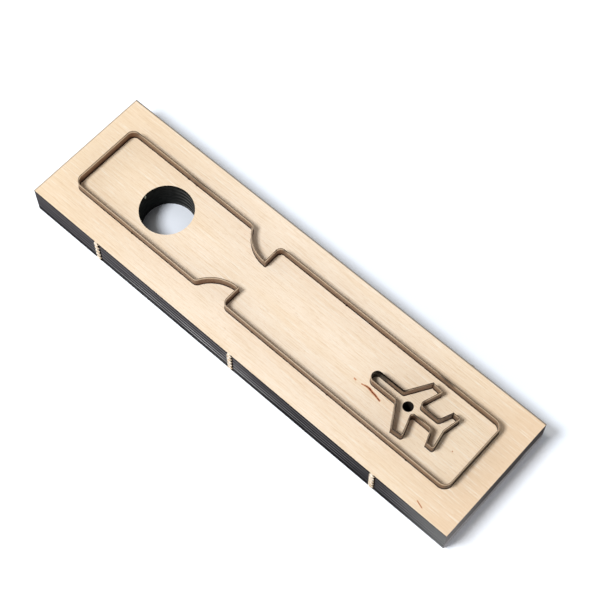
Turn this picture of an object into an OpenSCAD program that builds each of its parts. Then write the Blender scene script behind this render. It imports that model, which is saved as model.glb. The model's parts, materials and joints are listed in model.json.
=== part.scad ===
// Steel rule die that cuts a folding luggage tag with an aeroplane window.
// A laser-cut plywood board holds bent steel cutting rules on edge, bevels up.
// Origin at the middle of the board's underside, X along the length, Z up.

/* [Board] */
// Length of the die board
board_l = 267; // [256:1:320]
// Width of the die board
board_w = 72.5; // [60:0.5:100]
// Thickness of the die board
board_t = 18; // [15:0.5:18]
// Number of plies in the board
plies = 11; // [9:2:15]
// Diameter of the finger hole that the cut tag is pushed out through
finger_hole_d = 28; // [18:0.5:32]
// Centre of the finger hole along the board
finger_hole_x = -76.5; // [-90:0.5:-65]
// Diameter of the pin hole that the cut window is pushed out through
pin_hole_d = 5; // [3:0.1:6]

/* [Holding tabs] */
// Width of each broken-off holding tab on the long edges
tab_w = 2.9; // [2:0.1:4]
// How far a broken tab stands proud of the edge
tab_proud = 0.5; // [0.3:0.1:1]
// How much less of a tab is left on each side in every second ply
tab_tear = 0.5; // [0.2:0.1:0.8]
// Spacing of the tabs along each long edge
tab_pitch = 89.5; // [60:0.5:120]

/* [Cutting rule] */
// Height of the rule, heel to cutting edge
rule_h = 23.8; // [22.5:0.1:25.4]
// Thickness of the rule
rule_t = 0.71; // [0.5:0.01:1]
// Included angle of the centre bevel
bevel_angle = 34; // [28:1:60]
// Width of the land left along the cutting edge
edge_land = 0.06; // [0.03:0.01:0.1]
// Centre line radius of the tight bends
bend_r = 1.5; // [1.2:0.1:2]
// Free space between the rule and each wall of its kerf
kerf_fit = 0.02; // [0.01:0.01:0.05]
// Free space between a rule's end and the rule it butts against
joint_gap = 0.05; // [0.03:0.01:0.1]

/* [Tag outline] */
// Length of the tag, rule centre to rule centre
tag_l = 239.2; // [230:0.2:250]
// Width of the tag, rule centre to rule centre
tag_w = 41; // [38:0.5:46]
// Radius of the four end corners
corner_r = 4; // [2:0.5:8]
// Place of the waist along the board
waist_x = -19; // [-25:0.5:-10]
// Width of the tag at its waist
waist_w = 19; // [15:0.5:24]
// Radius of the hollow that runs into the waist
waist_arc_r = 19.5; // [17:0.5:22]
// Radius of the bend from the side into the hollow
hollow_bend_r = 2.5; // [1.5:0.1:3]
// Radius of the rounded shoulder past the waist
shoulder_r = 3; // [2:0.5:4]

/* [Aeroplane window] */
// Front of the nose along the board
nose_x = 58.2; // [55:0.1:62]
// Width of the fuselage
fuselage_w = 5.7; // [5:0.1:7]
// Distance from the nose to the front of the wing root
nose_to_wing = 16.7; // [14:0.1:18]
// Distance from the nose to the pin hole
nose_to_pin = 22; // [20:0.1:24]
// Distance from the nose to the front of the tail root
nose_to_tail = 37.9; // [36:0.1:40]
// Span of the wings
wing_span = 30.2; // [27:0.1:32]
// Length of the wing along the fuselage
wing_chord = 9.4; // [8.5:0.1:11]
// How far the wing tip lies behind the wing root
wing_sweep = 7.5; // [6:0.1:9]
// Length of the wing tip
wing_tip = 6; // [5:0.1:7]
// How far the rear of the wing tip turns inwards
wing_tip_rake = 0.5; // [0.2:0.1:1]
// Span of the tailplane
tail_span = 19.4; // [18:0.1:22]
// How far the tailplane's tip lies behind its root
tail_sweep = 2.8; // [2:0.1:4]
// Length of the tailplane's tip
tail_tip = 4; // [3.5:0.1:5]
// Depth of the notch in the back of the tailplane
tail_notch = 1.9; // [1.5:0.1:2.5]

/* [Bridges] */
// Width of the uncut bridges across the tag's kerf
tag_bridge_w = 6; // [4:0.5:8]
// Place of the bridges in the half with the finger hole
short_bridge_x = -78; // [-90:1:-60]
// Place of the bridges in the half with the aeroplane
long_bridge_x = 53; // [30:1:80]
// Width of the uncut bridges across the aeroplane's kerf
plane_bridge_w = 3; // [2:0.5:4]
// Free space round a bridge in the rule's notch
notch_fit = 0.2; // [0.1:0.05:0.4]

/* [Hidden] */
$fn = 96;
// Largest turn between two stations of a bend
bend_step = 6;
// Free space past the end of a rule in its kerf
end_fit = 0.1;
// How far a cutter runs past the face that it opens
through = 1;
// Width of the cutter that leaves a bridge or opens a notch
across = 3;
birch = [0.93, 0.83, 0.70];
steel = [0.56, 0.54, 0.52];

bevel_h = (rule_t - edge_land) / 2 / tan(bevel_angle / 2);
// Section of the rule as [offset from its centre line, height]
rule_section = [
    [-rule_t / 2, 0],
    [rule_t / 2, 0],
    [rule_t / 2, rule_h - bevel_h],
    [edge_land / 2, rule_h],
    [-edge_land / 2, rule_h],
    [-rule_t / 2, rule_h - bevel_h]
];
notch_h = board_t + notch_fit;

// The hollow turns by waist_turn, then a tighter bend turns it back along the side
end_x = tag_l / 2;
side_y = tag_w / 2;
waist_y = waist_w / 2;
hollow_x = waist_x - rule_t / 2 - joint_gap;
waist_turn = acos(1 - (side_y - waist_y) / (waist_arc_r + hollow_bend_r));
hollow_run = waist_arc_r * tan(waist_turn / 2);
side_run = (waist_arc_r + hollow_bend_r) * sin(waist_turn) - hollow_bend_r * tan(waist_turn / 2);

// Corner points of the aeroplane's half with Y above zero
fuselage_y = fuselage_w / 2;
wing_root_front = [nose_x + nose_to_wing, fuselage_y];
wing_tip_front = [wing_root_front.x + wing_sweep, wing_span / 2];
wing_tip_rear = [wing_tip_front.x + wing_tip, wing_span / 2 - wing_tip_rake];
wing_root_rear = [wing_root_front.x + wing_chord, fuselage_y];
tail_root = [nose_x + nose_to_tail, fuselage_y];
tail_tip_front = [tail_root.x + tail_sweep, tail_span / 2];
tail_tip_rear = [tail_tip_front.x + tail_tip, tail_span / 2];
tail_centre = [tail_tip_rear.x - tail_notch, 0];
pin_hole_x = nose_x + nose_to_pin;

// Directions, points and turns in plan
function heading(a, b) = atan2(b.y - a.y, b.x - a.x);
function turn(from, to) =
    let (d = to - from)
    d > 180 ? d - 360 : d < -180 ? d + 360 : d;
function along(p, direction, d) = [p.x + d * cos(direction), p.y + d * sin(direction)];
function flipped(p) = [p.x, -p.y];
function corner(p, r) = [p.x, p.y, r];

// How far a rule's square end stays back from the corner where it meets another rule
function setback(angle) =
    (rule_t / 2 * (1 + abs(cos(angle))) + joint_gap) / abs(sin(angle));

// Stations [x, y, heading] round one bend at a corner [x, y, radius]
function bend(before, at, after) =
    let (
        heading_in = heading(before, at),
        angle = turn(heading_in, heading(at, after)),
        side = sign(angle),
        start = along(at, heading_in, -at.z * tan(abs(angle) / 2)),
        centre = along(start, heading_in + 90 * side, at.z),
        steps = ceil(abs(angle) / bend_step)
    )
    [
        for (k = [0:steps])
            let (direction = heading_in + angle * k / steps)
            concat(along(centre, direction - 90 * side, at.z), direction)
    ];

function apart(a, b) = norm([a.x - b.x, a.y - b.y]) > 0.001;

// Stations along a whole rule from its list of corners
function route(corners) =
    let (
        last = len(corners) - 1,
        first_point = corners[0],
        last_point = corners[last],
        bends = [
            for (i = [1:last - 1])
                each bend(corners[i - 1], corners[i], corners[i + 1])
        ],
        all = concat(
            [concat([first_point.x, first_point.y], bends[0].z)],
            bends,
            [concat([last_point.x, last_point.y], bends[len(bends) - 1].z)]
        )
    )
    [for (i = [0:len(all) - 1]) if (i == 0 || apart(all[i], all[i - 1])) all[i]];

// The same stations with both ends moved out
function longer(stations, d) =
    let (last = len(stations) - 1)
    [
        for (i = [0:last])
            let (s = stations[i], shift = i == 0 ? -d : i == last ? d : 0)
            concat(along(s, s.z, shift), s.z)
    ];

// Half of the tag with the finger hole, from one waist point round to the other
short_half = [
    corner([hollow_x, waist_y], 0),
    corner([hollow_x - hollow_run, waist_y], waist_arc_r),
    corner([hollow_x - side_run, side_y], hollow_bend_r),
    corner([-end_x, side_y], corner_r)
];
short_route = route(concat(
    short_half,
    [for (i = [3:-1:0]) corner(flipped(short_half[i]), short_half[i].z)]
));

// Half of the tag with the aeroplane, which closes the waist's two points
long_half = [
    corner([waist_x, waist_y - rule_t / 2], 0),
    corner([waist_x, side_y], shoulder_r),
    corner([end_x, side_y], corner_r)
];
long_route = route(concat(
    long_half,
    [for (i = [2:-1:0]) corner(flipped(long_half[i]), long_half[i].z)]
));

// Nose, both fuselage sides and the wings' leading edges
leading_edge = heading(wing_root_front, wing_tip_front);
nose_half = [
    corner(along(wing_tip_front, leading_edge, rule_t / 2), 0),
    corner(wing_root_front, bend_r),
    corner([nose_x, fuselage_y], fuselage_y)
];
nose_route = route(concat(
    nose_half,
    [for (i = [2:-1:0]) corner(flipped(nose_half[i]), nose_half[i].z)]
));

// One wing tip, trailing edge, rear fuselage side and tailplane leading edge
wing_tip_line = heading(wing_tip_front, wing_tip_rear);
tail_edge = heading(tail_root, tail_tip_front);
wing_route = route([
    corner(along(wing_tip_front, wing_tip_line, setback(leading_edge - wing_tip_line)), 0),
    corner(wing_tip_rear, bend_r / 2),
    corner(wing_root_rear, bend_r),
    corner(tail_root, bend_r),
    corner(along(tail_tip_front, tail_edge, rule_t / 2), 0)
]);

// Both tailplane tips and the notched trailing edge between them
tail_half = [
    corner(along(tail_tip_front, 0, setback(tail_edge)), 0),
    corner(tail_tip_rear, bend_r / 2)
];
tail_route = route(concat(
    tail_half,
    [corner(tail_centre, bend_r)],
    [for (i = [1:-1:0]) corner(flipped(tail_half[i]), tail_half[i].z)]
));

// Bridges as [x, y, heading of the rule that crosses them]
short_bridges = [for (y = [-side_y, side_y]) [short_bridge_x, y, 0]];
long_bridges = [for (y = [-side_y, side_y]) [long_bridge_x, y, 0]];
leading_middle = (wing_root_front + wing_tip_front) / 2;
nose_bridges = [
    concat(leading_middle, leading_edge),
    concat(flipped(leading_middle), -leading_edge)
];
wing_bridges = [[(wing_root_rear.x + tail_root.x) / 2, fuselage_y, 0]];

// A section swept along the stations of a route
module sweep(stations, section) {
    m = len(section);
    last = len(stations) - 1;
    points = [
        for (s = stations, p = section)
            concat(along(s, s.z + 90, p.x), p.y)
    ];
    sides = [
        for (i = [0:last - 1], j = [0:m - 1])
            let (k = (j + 1) % m)
            [i * m + j, (i + 1) * m + j, (i + 1) * m + k, i * m + k]
    ];
    start_cap = [for (j = [0:m - 1]) j];
    end_cap = [for (j = [m - 1:-1:0]) last * m + j];
    polyhedron(points, concat([start_cap], sides, [end_cap]));
}

module at_bridges(bridges) {
    for (b = bridges)
        translate([b.x, b.y, 0])
            rotate(b.z)
                children();
}

// A bent rule, notched from its heel wherever it straddles a bridge
module cutting_rule(stations, bridges, bridge_w) {
    difference() {
        sweep(stations, rule_section);
        at_bridges(bridges)
            translate([-bridge_w / 2 - notch_fit, -across / 2, -through])
                cube([bridge_w + 2 * notch_fit, across, notch_h + through]);
    }
}

// The slot that the laser cuts for a rule, broken by its bridges
module kerf(stations, bridges, bridge_w) {
    slot = longer(stations, end_fit);
    half = rule_t / 2 + kerf_fit;
    left_wall = [for (s = slot) along(s, s.z + 90, half)];
    right_wall = [for (i = [len(slot) - 1:-1:0]) along(slot[i], slot[i].z - 90, half)];
    translate([0, 0, -through])
        linear_extrude(board_t + 2 * through)
            difference() {
                polygon(concat(left_wall, right_wall));
                at_bridges(bridges)
                    square([bridge_w, across], center = true);
            }
}

module bore(x, d) {
    translate([x, 0, -through])
        cylinder(d = d, h = board_t + 2 * through);
}

// A strip of a broken tab, centred on the edge of the board
module tab_strip(w, proud, h) {
    translate([-w / 2, -proud, 0])
        cube([w, 2 * proud, h]);
}

// A broken tab, where every second ply tore off further out
module holding_tab() {
    ply_t = board_t / plies;
    tab_strip(tab_w - 2 * tab_tear, tab_proud / 2, board_t);
    for (k = [1:2:plies - 2])
        translate([0, 0, k * ply_t])
            tab_strip(tab_w, tab_proud, ply_t);
}

module die_board() {
    color(birch)
        difference() {
            union() {
                translate([-board_l / 2, -board_w / 2, 0])
                    cube([board_l, board_w, board_t]);
                for (i = [-1:1], y = [-board_w / 2, board_w / 2])
                    translate([i * tab_pitch, y, 0])
                        holding_tab();
            }
            bore(finger_hole_x, finger_hole_d);
            bore(pin_hole_x, pin_hole_d);
            kerf(short_route, short_bridges, tag_bridge_w);
            kerf(long_route, long_bridges, tag_bridge_w);
            kerf(nose_route, nose_bridges, plane_bridge_w);
            for (side = [0, 1])
                mirror([0, side, 0])
                    kerf(wing_route, wing_bridges, plane_bridge_w);
            kerf(tail_route, [], plane_bridge_w);
        }
}

module tag_rule_short() {
    color(steel)
        cutting_rule(short_route, short_bridges, tag_bridge_w);
}

module tag_rule_long() {
    color(steel)
        cutting_rule(long_route, long_bridges, tag_bridge_w);
}

module plane_nose_rule() {
    color(steel)
        cutting_rule(nose_route, nose_bridges, plane_bridge_w);
}

module plane_wing_rule_right() {
    color(steel)
        cutting_rule(wing_route, wing_bridges, plane_bridge_w);
}

module plane_wing_rule_left() {
    color(steel)
        mirror([0, 1, 0])
            cutting_rule(wing_route, wing_bridges, plane_bridge_w);
}

module plane_tail_rule() {
    color(steel)
        cutting_rule(tail_route, [], plane_bridge_w);
}

die_board();
tag_rule_short();
tag_rule_long();
plane_nose_rule();
plane_wing_rule_left();
plane_wing_rule_right();
plane_tail_rule();
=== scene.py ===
"""Looks of the steel rule die: a laser-cut birch board that holds bent steel cutting rules.

Each material is made of masks, 0 to 1, from the place on the object and the way its surface faces.
In the functions that make them, g is the material's node graph.
"""

import json
import math

import bmesh
import bpy
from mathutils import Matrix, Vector, noise


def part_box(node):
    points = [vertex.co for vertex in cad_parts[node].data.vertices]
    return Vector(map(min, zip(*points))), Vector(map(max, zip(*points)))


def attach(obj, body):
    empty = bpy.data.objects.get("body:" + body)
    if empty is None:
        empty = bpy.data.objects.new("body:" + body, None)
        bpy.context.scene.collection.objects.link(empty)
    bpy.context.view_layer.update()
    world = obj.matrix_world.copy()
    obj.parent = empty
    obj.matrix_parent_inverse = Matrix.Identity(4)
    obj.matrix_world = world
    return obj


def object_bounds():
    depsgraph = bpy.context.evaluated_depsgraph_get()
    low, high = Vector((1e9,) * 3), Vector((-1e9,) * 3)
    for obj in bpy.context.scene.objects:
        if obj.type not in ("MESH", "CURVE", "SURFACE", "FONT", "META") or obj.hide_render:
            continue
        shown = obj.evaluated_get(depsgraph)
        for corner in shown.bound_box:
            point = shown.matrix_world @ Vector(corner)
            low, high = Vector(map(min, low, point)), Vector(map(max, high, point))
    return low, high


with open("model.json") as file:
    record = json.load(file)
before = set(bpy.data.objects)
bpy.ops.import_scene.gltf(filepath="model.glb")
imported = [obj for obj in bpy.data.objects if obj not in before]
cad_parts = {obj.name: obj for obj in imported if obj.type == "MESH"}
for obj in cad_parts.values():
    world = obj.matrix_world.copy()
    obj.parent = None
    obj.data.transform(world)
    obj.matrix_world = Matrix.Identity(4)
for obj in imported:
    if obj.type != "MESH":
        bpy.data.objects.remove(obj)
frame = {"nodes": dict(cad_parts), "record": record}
cad_low, cad_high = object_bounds()


def srgb(red, green, blue):
    """A colour as seen on a screen, 0 to 255, as linear values."""
    def linear(level):
        level /= 255
        return level / 12.92 if level <= 0.04045 else ((level + 0.055) / 1.055) ** 2.4
    return (linear(red), linear(green), linear(blue), 1)


# Sizes, in metres unless a name says otherwise
MM = 0.001
BOARD = frame["nodes"]["die_board"]
RULES = [node for name, node in frame["nodes"].items() if name != "die_board"]
MOUNTS = {mount["name"]: mount for mount in frame["record"]["mounts"]}
FINGER_HOLE = MOUNTS["finger_hole"]
FINGER_HOLE_R_MM = FINGER_HOLE["dims"]["r_mm"]
PIN_HOLE = MOUNTS["pin_hole"]
PIN_HOLE_R_MM = PIN_HOLE["dims"]["r_mm"]
_, BOARD_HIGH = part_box("die_board")
BOARD_TOP = BOARD_HIGH.z
BOARD_T_MM = BOARD_TOP / MM
PLIES = 11
RULE_TOP_MM = cad_high[2] / MM
TAB_PROUD = 0.5 * MM
EDGE_X_MM = BOARD_HIGH.x / MM
EDGE_Y_MM = (BOARD_HIGH.y - TAB_PROUD) / MM
WALL_SLACK_MM = 0.02
HOLE_WALL_REACH_MM = 1.5

# The torn tabs on the long edges, and the dark line at the right side of each: burn, deepened with
# painted shade of the proud tab
TAB_PITCH_MM = 89.5
TAB_HALF_MM = 1.45
TAB_FACE_OUT_MM = 0.1
TAB_TOOTH_MM = 0.75
TAB_JAG_MM = 0.6
TAB_LINE_OUT_MM = 0.6

# The burnt lip of the kerf round each rule: its width, its depth, and its swelling at a burnt dot. Over
# the bridges, where no kerf is cut, the lip is painted shade at the rule's foot.
OUTLINE_ABOVE = 3 * MM
SCORCH_SPACING = 0.6 * MM
SCORCH_WIDTH = 0.19 * MM
SCORCH_RAGGED = 0.06 * MM
SCORCH_LEAST = 0.06 * MM
SCORCH_PROUD = 0.012 * MM
SCORCH_DEEP = 0.06 * MM
SCORCH_UNDER_RULE = 0.1 * MM
DOT_REACH = 0.7 * MM
DOT_SWELL = 0.35 * MM

# Camera, as distance and angles from the point that it looks at
CAMERA_TARGET = Vector((-0.1, 13.9, 0)) * MM
CAMERA_DISTANCE = 0.75687
CAMERA_AZIMUTH = math.radians(42.071)
CAMERA_ELEVATION = math.radians(63.823)
CAMERA_LENS_MM = 91.87
CAMERA_SENSOR_MM = 36

# Light: a soft key from the front left and a dome that is brighter near the horizon
KEY_AZIMUTH = math.radians(-27)
KEY_ELEVATION = math.radians(58.5)
KEY_DISTANCE = 2.4
KEY_SIZE = 0.76
KEY_SHARE = 0.735
KEY_COLOUR = (0.974, 0.985, 0.99)
DOME_COLOUR = (1, 0.965, 0.93, 1)
DOME_LOW_STRENGTH = 1.05
DOME_HIGH_STRENGTH = 0.1
DOME_LOW_ENDS = 0.3
DOME_HIGH_STARTS = 0.75

# The floor, and how much it shines in what the camera sees, where 1 is white
FLOOR_SIZE = 12
GLOW_BEHIND = 0.22
GLOW_AHEAD = 1.6 * GLOW_BEHIND
GLOW_IN_HOLE = 0.6 * GLOW_BEHIND
GLOW_FAR_STARTS_MM = 200
GLOW_FAR_FULL_MM = 1500

# Marks, in millimetres from the board's middle. A streak has a start, an end, a width and a depth.
# A soft mark has its full strength over a share of its reach or width.
FULL_SHARE = 0.3
MINERAL_STREAKS_MM = [
    ((56.7, -5.8), (58.1, -5.5), 0.26, 0.5),
    ((58.1, -5.5), (59.2, -5.2), 0.34, 0.7),
    ((59.2, -5.2), (60.8, -5.2), 0.4, 0.85),
    ((60.8, -5.2), (62, -5.4), 0.46, 1),
    ((62, -5.4), (63.2, -5.7), 0.44, 1),
    ((63.2, -5.7), (64.9, -5.9), 0.42, 0.9),
    ((64.9, -5.9), (66.5, -6.3), 0.4, 0.95),
    ((66.5, -6.3), (68.4, -6.7), 0.34, 0.95),
    ((52.2, -5.9), (53.2, -6.1), 0.26, 0.3),
    ((113, -32.2), (116.6, -33.4), 0.2, 0.65),
    ((109.5, -3.2), (109.8, -3.3), 0.17, 0.5),
]
BURN_DOTS_MM = [
    (-80.2, -20.5),
    (0.2, -20.5),
    (48.1, -20.5),
    (58, -20.5),
    (96.5, -20.5),
    (-80.9, 20.4),
    (-75.1, 20.4),
    (24.5, 20.4),
]
HALO_WIDTHS = 2.2
CORE_WIDTHS = 1.3
SOOT_MIDDLE_MM = 62
SOOT_REACH_MM = 62
ASH_MIDDLE_MM = -20
ASH_REACH_MM = 100
PALE_CORNER_MM = 38
NOSE_TIP_MM = (61.8, 0)
NOSE_ROOT_MM = (74, 0)
NOSE_END_REACH_MM = 6.5
NOSE_SIDE_REACH_MM = 7
SLUG_FLECK_MM = Vector((-90.4, -1.2, 16))
SLUG_FLECK_SHAPE = Vector((1, 1, 0.35))
RINGS_START_MM = -73
RINGS_FADE_MM = 14

# Colours of the veneer
BIRCH = srgb(251, 233, 211)
BIRCH_TOWARDS_ENDS = srgb(244, 222, 193)
BIRCH_FIGURE = srgb(247, 225, 197)
BIRCH_RIGHT_END = srgb(240, 214, 184)
BIRCH_PAINTED_LIGHT_AT_TAIL = srgb(255, 236, 210)
GRAIN_DARK = srgb(231, 204, 169)
GRAIN_LIGHT = srgb(254, 244, 229)
PORE = srgb(220, 187, 150)
FAR_EDGE_BURN_AND_SHADE = srgb(96, 91, 88)
LEFT_END_BURN = srgb(128, 112, 98)
PIN_RIM_BURN = srgb(38, 28, 22)
MINERAL_HALO = srgb(220, 140, 80)
MINERAL_CORE = srgb(112, 42, 16)

# Colours of the board's walls: long edges, ends, torn tabs, kerfs and finger hole
CHAR_DARK = srgb(60, 59, 61)
CHAR_LIGHT = srgb(80, 77, 80)
CHAR_SOOT = srgb(40, 40, 43)
CHAR_PALE_CORNER = srgb(118, 119, 118)
CHAR_SPECKLE = srgb(26, 26, 27)
CHAR_BETWEEN_STRIPES = srgb(14, 14, 15)
CHAR_TOP = srgb(76, 62, 52)
CHAR_BOTTOM = srgb(18, 18, 19)
ASH = srgb(122, 119, 121)
ASH_BRIGHT = srgb(172, 170, 170)
ASH_PALE_CORNER = srgb(150, 151, 150)
END_BACK = srgb(74, 70, 69)
END_FRONT = srgb(124, 121, 120)
END_STRIPE = srgb(128, 126, 127)
END_PAINTED_LIGHT = srgb(164, 162, 164)
TORN_PALE = srgb(250, 247, 238)
TORN_BROWN = srgb(200, 176, 146)
TORN_GLUE = srgb(150, 124, 96)
TAB_LINE_BURN_AND_SHADE = srgb(30, 18, 11)
KERF_WALL = srgb(56, 51, 48)
HOLE_DARK = srgb(40, 41, 40)
HOLE_LIGHT = srgb(52, 53, 52)
HOLE_RING = srgb(124, 122, 118)
HOLE_LIP = srgb(11, 8, 7)
SLUG_FLECK = srgb(206, 210, 192)

# Colours of the rules, of their lips of burn and painted shade, and of the floor
STEEL_LIGHT = srgb(151, 130, 112)
STEEL_DARK = srgb(122, 99, 82)
STEEL_DRAWN = srgb(168, 150, 130)
STEEL_FOOT_SHADE = srgb(100, 71, 53)
STEEL_SOOT_AND_SHADE = srgb(34, 21, 13)
STEEL_SHADE_LEFT = srgb(92, 55, 35)
STEEL_SHADE_RIGHT = srgb(42, 25, 16)
STEEL_BEVEL = srgb(208, 198, 185)
STEEL_CREST_SHADE = srgb(66, 44, 32)
STEEL_NOSE_SHADE = srgb(30, 24, 21)
SCORCH_AND_SHADE_BLACK = srgb(26, 14, 7)
SCORCH_AND_SHADE_BROWN = srgb(54, 32, 17)
PAPER_DARK = srgb(241, 246, 255)
PAPER_LIGHT = srgb(242, 247, 255)
PAPER_BEHIND = srgb(236, 244, 255)
PAPER_IN_HOLE = srgb(237, 243, 254)


class Graph:
    """The node tree of a material or world. Its calls return output sockets."""

    def __init__(self, owner):
        owner.use_nodes = True
        self.owner = owner
        self.tree = owner.node_tree
        self.tree.nodes.clear()

    def feed(self, socket, value):
        """Link a socket, or set it where the value is a plain number, vector or colour."""
        if isinstance(value, bpy.types.NodeSocket):
            self.tree.links.new(value, socket)
        else:
            socket.default_value = value

    def add(self, kind, inputs=None, **settings):
        """A new node, with its settings made and its inputs fed."""
        node = self.tree.nodes.new(kind)
        for key, value in settings.items():
            setattr(node, key, value)
        for key, value in (inputs or {}).items():
            self.feed(node.inputs[key], value)
        return node

    def math(self, operation, a, b=0.0):
        return self.add("ShaderNodeMath", {0: a, 1: b}, operation=operation).outputs[0]

    def plus(self, a, b):
        return self.math("ADD", a, b)

    def minus(self, a, b):
        return self.math("SUBTRACT", a, b)

    def times(self, a, b):
        return self.math("MULTIPLY", a, b)

    def larger(self, a, b):
        return self.math("MAXIMUM", a, b)

    def absolute(self, value):
        return self.math("ABSOLUTE", value)

    def above(self, value, limit):
        """1 above the limit, 0 elsewhere."""
        return self.math("GREATER_THAN", value, limit)

    def below(self, value, limit):
        """1 below the limit, 0 elsewhere."""
        return self.math("LESS_THAN", value, limit)

    def faces(self, component):
        """1 where a surface faces along an axis, either way, by that component of its normal."""
        return self.above(self.absolute(component), 0.5)

    def step(self, value, low, high):
        """0 at low and below, 1 at high and above, smooth between. Low may be the larger."""
        inputs = {"Value": value, "From Min": low, "From Max": high}
        return self.add("ShaderNodeMapRange", inputs, interpolation_type="SMOOTHSTEP").outputs[0]

    def blend(self, factor, a, b):
        """A number that goes from a, at factor 0, to b, at factor 1."""
        return self.add("ShaderNodeMix", {0: factor, 2: a, 3: b}).outputs[0]

    def mix(self, factor, a, b):
        """A colour that goes from a, at factor 0, to b, at factor 1."""
        return self.add("ShaderNodeMix", {0: factor, 6: a, 7: b}, data_type="RGBA").outputs[2]

    def paint(self, colour, over, mask, cover=None):
        """A colour with another painted over it where the mask is 1, fully or with less cover."""
        factor = mask if cover is None else self.times(mask, cover)
        return self.mix(factor, colour, over)

    def vector(self, operation, a, b):
        return self.add("ShaderNodeVectorMath", {0: a, 1: b}, operation=operation).outputs

    def dot(self, a, b):
        return self.vector("DOT_PRODUCT", a, b)["Value"]

    def distance(self, a, b):
        return self.vector("DISTANCE", a, b)["Value"]

    def scaled(self, vector, factor):
        """A vector times one number."""
        inputs = {0: vector, "Scale": factor}
        return self.add("ShaderNodeVectorMath", inputs, operation="SCALE").outputs[0]

    def stretched(self, vector, factors):
        """A vector with each axis times its own factor."""
        return self.vector("MULTIPLY", vector, factors)[0]

    def flat(self, place):
        """A place with its height left out."""
        return self.stretched(place, (1, 1, 0))

    def split(self, vector):
        return self.add("ShaderNodeSeparateXYZ", {0: vector}).outputs

    def millimetres(self):
        """The place on the object, in millimetres."""
        return self.scaled(self.add("ShaderNodeTexCoord").outputs["Object"], 1 / MM)

    def facing(self):
        """The way that the surface faces, without bump."""
        return self.add("ShaderNodeNewGeometry").outputs["True Normal"]

    def noise(self, place, per_mm, detail=3.0, roughness=0.55):
        """Noise from 0 to 1 with so many waves per millimetre along each axis."""
        inputs = {"Vector": self.stretched(place, per_mm), "Scale": 1.0}
        inputs.update({"Detail": detail, "Roughness": roughness})
        return self.add("ShaderNodeTexNoise", inputs).outputs["Fac"]

    def bump(self, height, distance_mm, strength):
        inputs = {"Height": height, "Distance": distance_mm * MM, "Strength": strength}
        return self.add("ShaderNodeBump", inputs).outputs[0]

    def finish(self, colour, roughness, relief=None, metallic=0.0, specular=0.5):
        """Close the graph with one surface shader, and return the material."""
        inputs = {"Base Color": colour, "Roughness": roughness, "Metallic": metallic}
        inputs["Specular IOR Level"] = specular
        if relief is not None:
            inputs["Normal"] = relief
        shader = self.add("ShaderNodeBsdfPrincipled", inputs)
        self.add("ShaderNodeOutputMaterial", {"Surface": shader.outputs[0]})
        return self.owner


def near_line(g, place, start, end, width):
    """1 on a line across the board's face, fading to 0 at its width."""
    start = Vector((*start, 0))
    run = Vector((*end, 0)) - start
    away = g.vector("SUBTRACT", g.flat(place), start)[0]
    share = g.dot(away, run / run.length_squared)
    share = g.add("ShaderNodeClamp", {0: share}).outputs[0]
    gap = g.distance(away, g.scaled(run, share))
    return g.step(gap, width, width * FULL_SHARE)


def away_from(g, place, mount):
    """How far a place lies, in plan, from the middle of a mount, in millimetres."""
    centre = Vector((mount["pos_m"][0], mount["pos_m"][1], 0)) / MM
    return g.distance(g.flat(place), centre)


def veneer_colour(g, place, x, y, fibre):
    """Pale birch with fine grain along the board, scorched at its left end and pin hole, with a dark
    far edge that is partly scorch and partly painted shade.
    """
    figure = g.noise(place, (0.012, 0.09, 0), detail=4.0)
    streak = g.noise(place, (0.06, 1.9, 0.3), detail=5.0, roughness=0.7)

    # Darker towards both ends, most of all at the right, but with painted light round the aeroplane's
    # tail, to lift the shade that the rules cast there
    colour = g.mix(g.step(g.absolute(x), 30, EDGE_X_MM), BIRCH, BIRCH_TOWARDS_ENDS)
    colour = g.paint(colour, BIRCH_FIGURE, g.step(figure, 0.45, 0.75))
    colour = g.paint(colour, BIRCH_RIGHT_END, g.step(x, 98, EDGE_X_MM))
    inside_rule = g.times(g.step(g.absolute(y), 21, 18), g.step(x, 121, 117))
    painted_light_at_tail = g.times(inside_rule, g.step(x, 78, 98))
    colour = g.paint(colour, BIRCH_PAINTED_LIGHT_AT_TAIL, painted_light_at_tail, 0.6)

    # Grain
    colour = g.paint(colour, GRAIN_DARK, g.step(streak, 0.5, 0.7), 0.8)
    colour = g.paint(colour, GRAIN_LIGHT, g.step(streak, 0.47, 0.3), 0.9)
    colour = g.paint(colour, PORE, g.step(fibre, 0.52, 0.7), 0.7)

    # Scorched lines; the one at the far edge is partly painted shade
    far_edge_burn_and_shade = g.step(y, EDGE_Y_MM - 0.9, EDGE_Y_MM - 0.4)
    colour = g.paint(colour, FAR_EDGE_BURN_AND_SHADE, far_edge_burn_and_shade, 0.85)
    left_end = g.step(x, 0.8 - EDGE_X_MM, 0.3 - EDGE_X_MM)
    colour = g.paint(colour, LEFT_END_BURN, left_end, 0.6)
    from_pin = away_from(g, place, PIN_HOLE)
    return g.paint(colour, PIN_RIM_BURN, g.step(from_pin, PIN_HOLE_R_MM + 0.3, PIN_HOLE_R_MM + 0.1))


def mineral_marks(g, place, colour):
    """The brown mineral streaks and specks in the veneer: a soft halo with a darker, patchy core."""
    halo = 0.0
    core = 0.0
    for start, end, width, depth in MINERAL_STREAKS_MM:
        halo = g.larger(halo, near_line(g, place, start, end, width * HALO_WIDTHS))
        line = near_line(g, place, start, end, width * CORE_WIDTHS)
        core = g.larger(core, g.times(line, depth))
    patchy = g.step(g.noise(place, (0.7, 1.4, 0)), 0.2, 0.5)
    colour = g.paint(colour, MINERAL_HALO, halo, 0.75)
    return g.paint(colour, MINERAL_CORE, core, patchy)


def from_middle(g, z, plies):
    """0 in the middle of a run of so many plies, 0.5 where it meets the next."""
    share = g.math("FRACT", g.times(z, PLIES / BOARD_T_MM / plies))
    return g.absolute(g.minus(share, 0.5))


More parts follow.
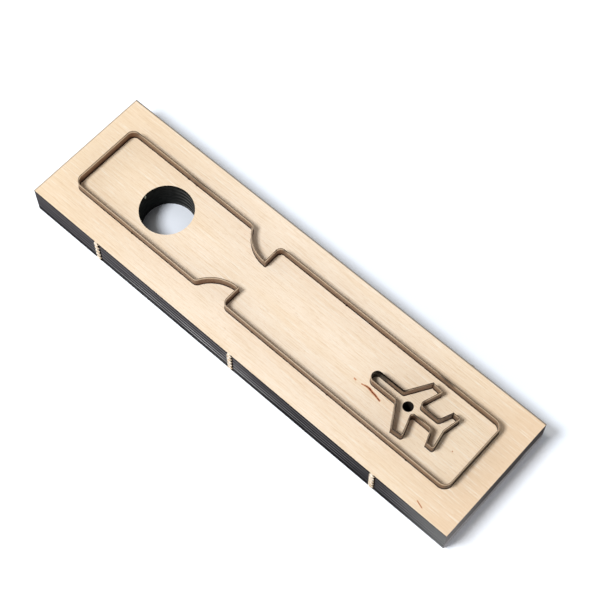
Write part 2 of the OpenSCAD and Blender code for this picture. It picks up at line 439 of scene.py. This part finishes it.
def glue_lines(g, z):
    """1 on the glue lines between the plies, 0 in the middle of a ply."""
    return g.step(from_middle(g, z, 1), 0.2, 0.5)


def cross_plies(g, z):
    """1 in every second ply, 0 in the plies between them."""
    return g.step(from_middle(g, z, 2), 0.28, 0.16)


def long_edge_colour(g, place, x, z):
    """Charcoal with broken ash-grey ply stripes, sootier to the right but paler grey towards its right
    corner.
    """
    broken = g.noise(place, (0.04, 0.04, 0.5), detail=4.0, roughness=0.6)
    speckle = g.noise(place, (0.35, 0.35, 2.2), detail=3.0, roughness=0.7)
    colour = g.mix(g.step(broken, 0.4, 0.65), CHAR_DARK, CHAR_LIGHT)
    from_soot = g.absolute(g.minus(x, SOOT_MIDDLE_MM))
    soot = g.step(from_soot, SOOT_REACH_MM, SOOT_REACH_MM * FULL_SHARE)
    colour = g.paint(colour, CHAR_SOOT, soot, 0.6)
    # Paler grey towards the right corner
    pale_corner = g.times(g.step(x, EDGE_X_MM - PALE_CORNER_MM, EDGE_X_MM), 0.8)
    colour = g.paint(colour, CHAR_PALE_CORNER, pale_corner)

    # Light stripes
    low = g.step(z, BOARD_T_MM * 0.75, BOARD_T_MM * 0.3)
    from_ash = g.absolute(g.minus(x, ASH_MIDDLE_MM))
    ashy = g.times(low, g.step(from_ash, ASH_REACH_MM, ASH_REACH_MM * FULL_SHARE))
    ash = g.paint(g.mix(ashy, ASH, ASH_BRIGHT), ASH_PALE_CORNER, pale_corner)
    lively = g.plus(0.55, g.times(g.step(x, -95, -10), 0.45))
    bright = g.times(g.minus(0.9, g.times(soot, 0.35)), lively)
    in_stripe = cross_plies(g, z)
    stripe = g.times(in_stripe, g.step(broken, 0.7, 0.42))
    colour = g.paint(colour, ash, stripe, bright)
    colour = g.paint(colour, CHAR_SPECKLE, g.step(speckle, 0.5, 0.75), 0.5)

    # Dark stripes between them
    off_corner = g.minus(1, g.times(pale_corner, 0.25))
    between = g.times(off_corner, g.minus(1, in_stripe))
    depth = g.plus(g.times(low, 0.3), g.times(soot, 0.25))
    dark = g.times(g.plus(depth, 0.35), lively)
    colour = g.paint(colour, CHAR_BETWEEN_STRIPES, between, dark)

    colour = g.paint(colour, CHAR_TOP, g.step(z, BOARD_T_MM - 1.2, BOARD_T_MM), 0.6)
    return g.paint(colour, CHAR_BOTTOM, g.step(z, 3.6, 1.4), g.minus(0.9, pale_corner))


def end_colour(g, place, y, z):
    """The board's two ends: charred at the back, paler grey at the front, and a ragged paler band at
    the bottom that is painted light.
    """
    broken = g.noise(place, (0.06, 0.06, 0.5), detail=4.0)
    colour = g.mix(g.step(y, 8, -EDGE_Y_MM), END_BACK, END_FRONT)
    stripe = g.times(cross_plies(g, z), g.step(broken, 0.6, 0.4))
    colour = g.paint(colour, END_STRIPE, stripe, 0.25)
    # Painted light: a ragged paler band along the bottom
    ragged = g.plus(z, g.times(g.minus(broken, 0.5), 9))
    return g.paint(colour, END_PAINTED_LIGHT, g.step(ragged, 7.6, 2.8), 0.95)


def tab_line_burn_and_shade(g, place, x, z):
    """1 on the dark line at a tab's right side, where the cut ended: burn, deepened with painted shade
    of the proud tab. Its teeth follow the plies.
    """
    tab = g.math("ROUND", g.times(x, 1 / TAB_PITCH_MM))
    from_tab = g.minus(x, g.times(tab, TAB_PITCH_MM))
    inside = g.minus(TAB_HALF_MM, from_tab)
    teeth = g.times(cross_plies(g, z), TAB_TOOTH_MM)
    jag = g.times(g.noise(place, (0.02, 0, 0.9), detail=2.0), TAB_JAG_MM)
    right_side_dark = g.below(inside, g.plus(teeth, jag))
    return g.times(right_side_dark, g.above(inside, -TAB_LINE_OUT_MM))


def torn_tab_colour(g, place, z):
    """Raw birch where a holding tab was broken off, with ragged plies."""
    torn = g.noise(place, (0.8, 0, 0.7), detail=4.0)
    colour = g.mix(g.step(torn, 0.42, 0.6), TORN_PALE, TORN_BROWN)
    return g.paint(colour, TORN_GLUE, glue_lines(g, z), 0.5)


def hole_colour(g, place, z):
    """The finger hole's nearly black wall: rings at its far side, a fleck where its slug hung."""
    soot = g.noise(place, (0.3, 0.3, 0.8))
    colour = g.mix(g.step(soot, 0.3, 0.7), HOLE_DARK, HOLE_LIGHT)
    far = g.step(g.dot(place, (1, 1, 0)), RINGS_START_MM, RINGS_START_MM + RINGS_FADE_MM)
    colour = g.paint(colour, HOLE_RING, g.times(cross_plies(g, z), far), 0.6)
    colour = g.paint(colour, HOLE_LIP, g.step(z, BOARD_T_MM - 1.4, BOARD_T_MM - 0.6))
    fleck_place = g.stretched(place, SLUG_FLECK_SHAPE)
    from_fleck = g.distance(fleck_place, SLUG_FLECK_MM * SLUG_FLECK_SHAPE)
    return g.paint(colour, SLUG_FLECK, g.step(from_fleck, 0.7, 0.35))


def birch_board_material():
    """Veneer on the board's faces, char on its walls, raw wood on the torn tabs. All of it is matt."""
    g = Graph(bpy.data.materials.new("birch_die_board"))
    place = g.millimetres()
    x, y, z = g.split(place)
    _, facing_y, up = g.split(g.facing())
    fibre = g.noise(place, (0.25, 4.4, 1.0), detail=4.0, roughness=0.7)
    face = mineral_marks(g, place, veneer_colour(g, place, x, y, fibre))

    in_hole = g.below(away_from(g, place, FINGER_HOLE), FINGER_HOLE_R_MM + HOLE_WALL_REACH_MM)
    wall = g.mix(in_hole, KERF_WALL, hole_colour(g, place, z))
    at_end = g.above(g.absolute(x), EDGE_X_MM - WALL_SLACK_MM)
    at_side = g.above(g.absolute(y), EDGE_Y_MM - WALL_SLACK_MM)
    edge = g.mix(at_end, long_edge_colour(g, place, x, z), end_colour(g, place, y, z))
    wall = g.mix(g.larger(at_end, at_side), wall, edge)

    # On a torn tab, raw wood shows up to the dark line of burn and painted shade
    tab_line = g.times(at_side, tab_line_burn_and_shade(g, place, x, z))
    wall = g.paint(wall, TAB_LINE_BURN_AND_SHADE, tab_line)
    on_tab = g.above(g.absolute(y), EDGE_Y_MM + TAB_FACE_OUT_MM)
    torn_face = g.times(on_tab, g.faces(facing_y))
    raw_wood = g.times(torn_face, g.minus(1, tab_line))
    wall = g.mix(raw_wood, wall, torn_tab_colour(g, place, z))

    colour = g.mix(g.faces(up), wall, face)
    roughness = g.step(fibre, -0.6, 1.4)
    relief = g.bump(fibre, 0.03, 0.5)
    return g.finish(colour, roughness, relief, specular=0.0)


def nose_shade(g, place, y, z, facing):
    """1 where painted shade blackens the inner side of the aeroplane's nose, a narrow pocket: its round
    end and its top line.
    """
    towards_tip = g.vector("SUBTRACT", (*NOSE_TIP_MM, 0), g.flat(place))[0]
    faces_tip = g.step(g.dot(facing, towards_tip), 0, 1)
    beyond_tip = (NOSE_TIP_MM[0] - 0.5, NOSE_TIP_MM[1])
    at_end = g.times(faces_tip, near_line(g, place, NOSE_TIP_MM, beyond_tip, NOSE_END_REACH_MM))

    facing_y = g.split(facing)[1]
    inner_side = g.step(g.times(y, facing_y), 0, -0.5)
    top_line = g.times(inner_side, g.step(z, RULE_TOP_MM - 1.8, RULE_TOP_MM - 0.9))
    along = g.times(top_line, near_line(g, place, NOSE_TIP_MM, NOSE_ROOT_MM, NOSE_SIDE_REACH_MM))
    return g.larger(at_end, along)


def rule_steel_material():
    """Dull brown-grey spring steel with a lighter ground bevel, soot and painted shade at its foot, and
    painted shade down towards the board, on sides that face right, along the crest and in the nose.
    """
    g = Graph(bpy.data.materials.new("cutting_rule_steel"))
    place = g.millimetres()
    x, y, z = g.split(place)
    facing = g.facing()
    facing_x, _, up = g.split(facing)
    mottled = g.noise(place, (0.25, 0.25, 0.6), detail=4.0)
    drawn = g.noise(place, (0.08, 0.08, 9.0), detail=3.0)
    colour = g.mix(g.step(mottled, 0.35, 0.7), STEEL_LIGHT, STEEL_DARK)
    colour = g.paint(colour, STEEL_DRAWN, g.step(drawn, 0.5, 0.75), 0.35)
    # Painted shade, darker down towards the board; at the very foot, soot with painted shade where the
    # rule meets the board
    colour = g.paint(colour, STEEL_FOOT_SHADE, g.step(z, BOARD_T_MM + 5.2, BOARD_T_MM + 0.5), 0.8)
    colour = g.paint(colour, STEEL_SOOT_AND_SHADE, g.step(z, BOARD_T_MM + 1.4, BOARD_T_MM + 0.6), 0.92)

    # Painted shade on sides that face right, away from the key, and more so at the board's right end
    to_right = g.step(x, 66, 112)
    right_side_dark = g.mix(to_right, STEEL_SHADE_LEFT, STEEL_SHADE_RIGHT)
    cover = g.plus(0.45, g.times(to_right, 0.45))
    colour = g.paint(colour, right_side_dark, g.step(facing_x, 0.35, 0.9), cover)

    colour = g.paint(colour, STEEL_BEVEL, g.step(up, 0.1, 0.2))
    # Painted shade along the crest
    crest_shade = g.step(z, RULE_TOP_MM - 0.5, RULE_TOP_MM - 0.25)
    colour = g.paint(colour, STEEL_CREST_SHADE, crest_shade, 0.8)
    # Painted shade in the narrow pocket of the aeroplane's nose
    colour = g.paint(colour, STEEL_NOSE_SHADE, nose_shade(g, place, y, z, facing))
    roughness = g.step(drawn, -0.5, 2.2)
    relief = g.bump(drawn, 0.02, 0.3)
    return g.finish(colour, roughness, relief, metallic=0.9)


def scorch_and_shade_material():
    """Brown-black char, uneven along the kerf, and painted shade where it runs over the bridges."""
    g = Graph(bpy.data.materials.new("scorched_kerf_lip"))
    soot = g.noise(g.millimetres(), (1.1, 1.1, 0), detail=4.0)
    colour = g.mix(g.step(soot, 0.3, 0.7), SCORCH_AND_SHADE_BLACK, SCORCH_AND_SHADE_BROWN)
    roughness = g.step(soot, -1.5, 1.2)
    return g.finish(colour, roughness, specular=0.2)


def base_outlines(node, height):
    """The closed outlines, counter-clockwise, of a rule where a level plane cuts it."""
    mesh = bmesh.new()
    mesh.from_mesh(node.data)
    bmesh.ops.remove_doubles(mesh, verts=mesh.verts, dist=1e-6)
    everything = mesh.verts[:] + mesh.edges[:] + mesh.faces[:]
    cut = bmesh.ops.bisect_plane(
        mesh, geom=everything, plane_co=(0, 0, height), plane_no=(0, 0, 1), clear_outer=True)
    edges = {item for item in cut["geom_cut"] if isinstance(item, bmesh.types.BMEdge)}
    outlines = []
    while edges:
        edge = edges.pop()
        first, vert = edge.verts
        points = [first.co.copy()]
        while vert is not first:
            points.append(vert.co.copy())
            edge = next(link for link in vert.link_edges if link in edges)
            edges.remove(edge)
            vert = edge.other_vert(vert)
        area = sum(a.x * b.y - b.x * a.y for a, b in zip(points, points[1:] + points[:1]))
        outlines.append(points if area > 0 else points[::-1])
    mesh.free()
    return outlines


def resampled(points, spacing):
    """A closed outline with points no further apart than the spacing."""
    fine = []
    for a, b in zip(points, points[1:] + points[:1]):
        steps = max(1, math.ceil((b - a).length / spacing))
        fine += [a.lerp(b, step / steps) for step in range(steps)]
    return fine


def scorch_width(point):
    """How far the lip of burn and painted shade reaches out from the rule at a point."""
    place_mm = point / MM
    # Slow waves with finer, weaker ones on them
    ragged = noise.noise(place_mm * 0.55) + 0.6 * noise.noise(place_mm * 1.7)
    width = SCORCH_WIDTH + SCORCH_RAGGED * ragged
    for x, y in BURN_DOTS_MM:
        gap = (point.xy - Vector((x, y)) * MM).length
        width += DOT_SWELL * max(0, 1 - (gap / DOT_REACH) ** 2)
    return max(width, SCORCH_LEAST)


def scorch_and_shade_ring(mesh, points):
    """A thin lip round one outline, from under the rule out onto the board: burnt along the kerf,
    painted shade over the bridges.
    """
    top = BOARD_TOP + SCORCH_PROUD
    under = BOARD_TOP - SCORCH_DEEP
    rings = []
    for i, point in enumerate(points):
        along = points[(i + 1) % len(points)] - points[i - 1]
        outward = Vector((along.y, -along.x, 0)).normalized()
        inner = point - outward * SCORCH_UNDER_RULE
        outer = point + outward * scorch_width(point)
        section = [(inner, under), (outer, under), (outer, top), (inner, top)]
        rings.append([mesh.verts.new((at.x, at.y, height)) for at, height in section])
    for here, there in zip(rings, rings[1:] + rings[:1]):
        for j in range(4):
            k = (j + 1) % 4
            mesh.faces.new((here[j], there[j], there[k], here[k]))


def add_object(name, data):
    """A new object in the scene."""
    thing = bpy.data.objects.new(name, data)
    bpy.context.scene.collection.objects.link(thing)
    return thing


def scorch_and_shade_lips():
    """The burnt lip of the kerf round every rule, one piece per rule, running over the bridges as
    painted shade.
    """
    material = scorch_and_shade_material()
    for rule in RULES:
        mesh = bmesh.new()
        for outline in base_outlines(rule, BOARD_TOP + OUTLINE_ABOVE):
            scorch_and_shade_ring(mesh, resampled(outline, SCORCH_SPACING))
        bmesh.ops.recalc_face_normals(mesh, faces=mesh.faces)
        data = bpy.data.meshes.new("scorch_" + rule.name)
        mesh.to_mesh(data)
        mesh.free()
        data.materials.append(material)
        piece = add_object(data.name, data)
        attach(piece, "root")


def dress(node, material):
    """Give a CAD node its material. Its mesh stays as it is."""
    node.data.materials.clear()
    node.data.materials.append(material)


def aim(thing, target, azimuth, elevation, distance):
    """Put a camera or lamp round a target and face it. Azimuth 0 is in front of the long edge."""
    level = math.cos(elevation)
    back = Vector((math.sin(azimuth) * level, -math.cos(azimuth) * level, math.sin(elevation)))
    thing.location = target + back * distance
    thing.rotation_mode = "QUATERNION"
    thing.rotation_quaternion = (-back).to_track_quat("-Z", "Y")


def add_camera():
    """The camera at the photograph's viewing angle."""
    data = bpy.data.cameras.new("photo_camera")
    data.lens = CAMERA_LENS_MM
    data.sensor_width = CAMERA_SENSOR_MM
    camera = add_object("photo_camera", data)
    aim(camera, CAMERA_TARGET, CAMERA_AZIMUTH, CAMERA_ELEVATION, CAMERA_DISTANCE)
    bpy.context.scene.camera = camera


def seen_rays(g):
    """1 for the rays that show a surface: camera, mirror and glass rays."""
    path = g.add("ShaderNodeLightPath").outputs
    mirror_or_glass = g.larger(path["Is Glossy Ray"], path["Is Transmission Ray"])
    return g.larger(path["Is Camera Ray"], mirror_or_glass)


def add_world():
    """A dome that lights more from its sides than from above, and shows white behind the floor."""
    world = bpy.data.worlds.new("studio_dome")
    bpy.context.scene.world = world
    g = Graph(world)
    height = g.split(g.add("ShaderNodeTexCoord").outputs["Generated"])["Z"]
    overhead = g.step(height, DOME_LOW_ENDS, DOME_HIGH_STARTS)
    light = g.blend(overhead, DOME_LOW_STRENGTH, DOME_HIGH_STRENGTH)
    strength = g.blend(seen_rays(g), light, 1.0)
    background = g.add("ShaderNodeBackground", {"Color": DOME_COLOUR, "Strength": strength})
    g.add("ShaderNodeOutputWorld", {"Surface": background.outputs[0]})


def add_key():
    """The soft key lamp, set so that the board's face gets its share of the light."""
    data = bpy.data.lights.new("soft_key", "AREA")
    data.shape = "DISK"
    data.size = KEY_SIZE
    data.energy = KEY_SHARE * math.pi ** 2 * KEY_DISTANCE ** 2 / math.sin(KEY_ELEVATION)
    data.color = KEY_COLOUR
    aim(add_object("soft_key", data), Vector(), KEY_AZIMUTH, KEY_ELEVATION, KEY_DISTANCE)


def floor_glow(g, place, x, y, in_hole):
    """How much the floor shines: beside the die, in its hole, and far away, where it turns white."""
    behind = g.larger(g.minus(x, EDGE_X_MM), g.minus(y, EDGE_Y_MM))
    ahead = g.math("MINIMUM", g.plus(x, EDGE_X_MM), g.plus(y, EDGE_Y_MM))
    glow_behind = g.times(g.step(behind, 1, 5), GLOW_BEHIND)
    glow_ahead = g.times(g.step(ahead, 1.5, 0.5), GLOW_AHEAD)
    near = g.larger(glow_behind, glow_ahead)
    near = g.larger(near, g.times(in_hole, GLOW_IN_HOLE))
    far = g.step(g.distance(place, (0, 0, 0)), GLOW_FAR_STARTS_MM, GLOW_FAR_FULL_MM)
    return g.plus(near, far)


def paper_material():
    """White paper that keeps the die's shadow, and shines a little in what the camera sees."""
    g = Graph(bpy.data.materials.new("paper_floor"))
    place = g.millimetres()
    x, y, _ = g.split(place)
    in_hole = g.step(away_from(g, place, FINGER_HOLE), FINGER_HOLE_R_MM, 2)
    colour = g.mix(g.noise(place, (0.004, 0.004, 0)), PAPER_DARK, PAPER_LIGHT)
    # Bluer behind the die and in its hole: a painted tint of the shade that falls there
    colour = g.paint(colour, PAPER_BEHIND, g.step(y, EDGE_Y_MM - 4, EDGE_Y_MM))
    colour = g.paint(colour, PAPER_IN_HOLE, in_hole)
    lit = g.add("ShaderNodeBsdfDiffuse", {"Color": colour})
    glow = g.times(floor_glow(g, place, x, y, in_hole), seen_rays(g))
    shine = g.add("ShaderNodeEmission", {"Strength": glow})
    both = g.add("ShaderNodeAddShader", {0: lit.outputs[0], 1: shine.outputs[0]})
    g.add("ShaderNodeOutputMaterial", {"Surface": both.outputs[0]})
    return g.owner


def add_floor():
    """The paper that the die lies on."""
    half = FLOOR_SIZE / 2
    corners = [(-half, -half, 0), (half, -half, 0), (half, half, 0), (-half, half, 0)]
    data = bpy.data.meshes.new("paper_floor")
    data.from_pydata(corners, [], [(0, 1, 2, 3)])
    data.materials.append(paper_material())
    add_object("paper_floor", data)


bpy.context.scene.view_settings.view_transform = "Standard"
add_camera()
add_world()
add_key()
add_floor()
dress(BOARD, birch_board_material())
rule_steel = rule_steel_material()
for rule in RULES:
    dress(rule, rule_steel)
scorch_and_shade_lips()
